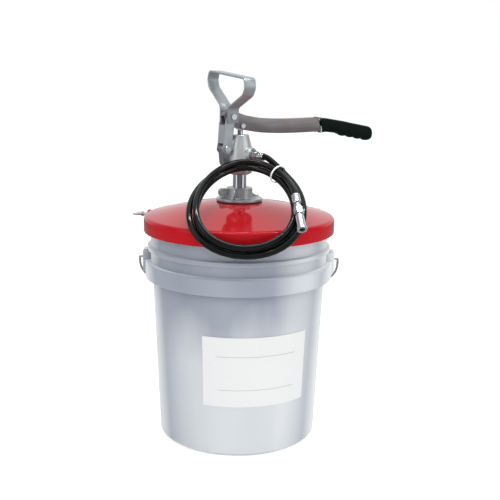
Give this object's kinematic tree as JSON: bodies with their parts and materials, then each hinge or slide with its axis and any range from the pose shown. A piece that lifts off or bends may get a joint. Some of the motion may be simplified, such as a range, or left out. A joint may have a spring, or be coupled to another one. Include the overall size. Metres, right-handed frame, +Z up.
{
  "type": "gear oil pump",
  "caption": "Hand lever pump for gear oil on a conical steel cover, clamped on a lidded pail, with a swing link, piston tube and a coiled delivery hose.",
  "frame": {"origin": "centre of the pail's flat base, on the floor", "axes": "+Z up along the pump tube; +X from the tube along the lever towards its grip; the pivot pins run along Y"},
  "size_m": [0.423, 0.3686, 0.6027],
  "materials": {
    "pail_plastic": "translucent, satin",
    "label_paper": "matt",
    "bail_wire": "zinc plated",
    "bail_plastic": "satin",
    "red_paint": "high gloss",
    "cast_zinc": "as cast, satin",
    "zinc_plate": "zinc plated",
    "bare_steel": "pressed steel, satin",
    "chrome": "polished",
    "hose_rubber": "satin",
    "grip_rubber": "matt",
    "seal_rubber": "matt",
    "brass": "machined",
    "tie_nylon": "satin"
  },
  "bodies": {
    "pail": {"pail_body": "pail_plastic", "pail_label": "label_paper"},
    "bail": {"bail_wire": "bail_wire", "bail_grip": "bail_plastic"},
    "cover": {"lid": "red_paint", "flange_gasket": "seal_rubber", "clamp_flange": "cast_zinc", "clamp_bolt": "zinc_plate", "clamp_nut": "zinc_plate", "flange_screw_1": "zinc_plate", "flange_screw_2": "zinc_plate", "flange_screw_3": "zinc_plate", "flange_nut_1": "zinc_plate", "flange_nut_2": "zinc_plate", "flange_nut_3": "zinc_plate", "rim_nut_1": "zinc_plate", "rim_nut_2": "zinc_plate"},
    "rim_screw_a": {"rim_screw_1": "zinc_plate"},
    "rim_screw_b": {"rim_screw_2": "zinc_plate"},
    "barrel": {"pump_tube": "chrome", "tube_collar": "cast_zinc", "pump_head": "cast_zinc", "rod_seal": "seal_rubber", "seal_retainer": "brass", "foot_valve_body": "brass", "foot_strainer": "bare_steel", "ball_stop_pin": "bare_steel", "outlet_washer": "seal_rubber", "outlet_fitting": "zinc_plate", "hose_ferrule": "zinc_plate", "check_spring": "bare_steel", "hose": "hose_rubber", "nozzle_ferrule": "zinc_plate", "nozzle_stem": "zinc_plate", "nozzle": "zinc_plate", "zip_tie": "tie_nylon"},
    "hose_nut": {"nozzle_nut": "zinc_plate"},
    "foot_ball": {"foot_valve_ball": "chrome"},
    "outlet_ball": {"check_ball": "chrome"},
    "transfer_ball": {"piston_ball": "chrome"},
    "plunger": {"piston_rod": "chrome", "rod_eye": "zinc_plate", "piston": "brass", "piston_cup": "seal_rubber"},
    "link": {"swing_link": "zinc_plate", "pivot_bolt": "zinc_plate", "pivot_nut": "zinc_plate", "link_bolt": "zinc_plate", "link_nut": "zinc_plate"},
    "lever_arm": {"lever": "bare_steel", "lever_grip": "grip_rubber", "rod_pin": "zinc_plate", "rod_pin_clip": "zinc_plate"},
    "handle": {"carry_handle": "zinc_plate"}
  },
  "joints": [
    {"name": "bail_swing", "type": "hinge", "parent": "pail", "child": "bail", "pos_m": [0, 0, 0.298], "axis": [0.866, -0.5, 0], "range_deg": [0, 50]},
    {"name": "pump_lift", "type": "slide", "parent": "pail", "child": "cover", "axis": [0, 0, 1], "range_m": [0, 0.4]},
    {"name": "rim_screw_1_back_off", "type": "slide", "parent": "cover", "child": "rim_screw_a", "axis": [-0.682, 0.7314, 0], "range_m": [0, 0.008]},
    {"name": "rim_screw_2_back_off", "type": "slide", "parent": "cover", "child": "rim_screw_b", "axis": [0.9744, 0.225, 0], "range_m": [0, 0.008]},
    {"name": "barrel_height", "type": "slide", "parent": "cover", "child": "barrel", "axis": [0, 0, 1], "range_m": [0, 0.05]},
    {"name": "lever_swing", "type": "hinge", "parent": "link", "child": "lever_arm", "pos_m": [-0.0204, 0, 0.5316], "axis": [0, -1, 0], "range_deg": [0, 55]},
    {"name": "link_swing", "type": "hinge", "parent": "barrel", "child": "link", "pos_m": [-0.0297, 0, 0.4797], "axis": [0, -1, 0], "range_deg": [0, 5.6]},
    {"name": "piston_stroke", "type": "slide", "parent": "barrel", "child": "plunger", "axis": [0, 0, 1], "range_m": [0, 0.0265]},
    {"name": "handle_swing", "type": "hinge", "parent": "link", "child": "handle", "pos_m": [-0.0204, 0, 0.5316], "axis": [0, -1, 0], "range_deg": [0, 50]},
    {"name": "foot_ball_lift", "type": "slide", "parent": "barrel", "child": "foot_ball", "axis": [0, 0, 1], "range_m": [0, 0.0025]},
    {"name": "transfer_ball_lift", "type": "slide", "parent": "plunger", "child": "transfer_ball", "axis": [0, 0, 1], "range_m": [0, 0.0025]},
    {"name": "outlet_ball_lift", "type": "slide", "parent": "barrel", "child": "outlet_ball", "axis": [0.3907, -0.9205, 0], "range_m": [0, 0.0015]},
    {"name": "hose_nut_spin", "type": "hinge", "parent": "barrel", "child": "hose_nut", "pos_m": [0.01056, -0.1539, 0.4222], "axis": [-0.2467, -0.6959, -0.6745], "continuous": true}
  ],
  "couplings": [
    {"joint": "link_swing", "follows": "lever_swing", "ratio": 0.0989},
    {"joint": "piston_stroke", "follows": "lever_swing", "m_per_rad": 0.02714}
  ]
}
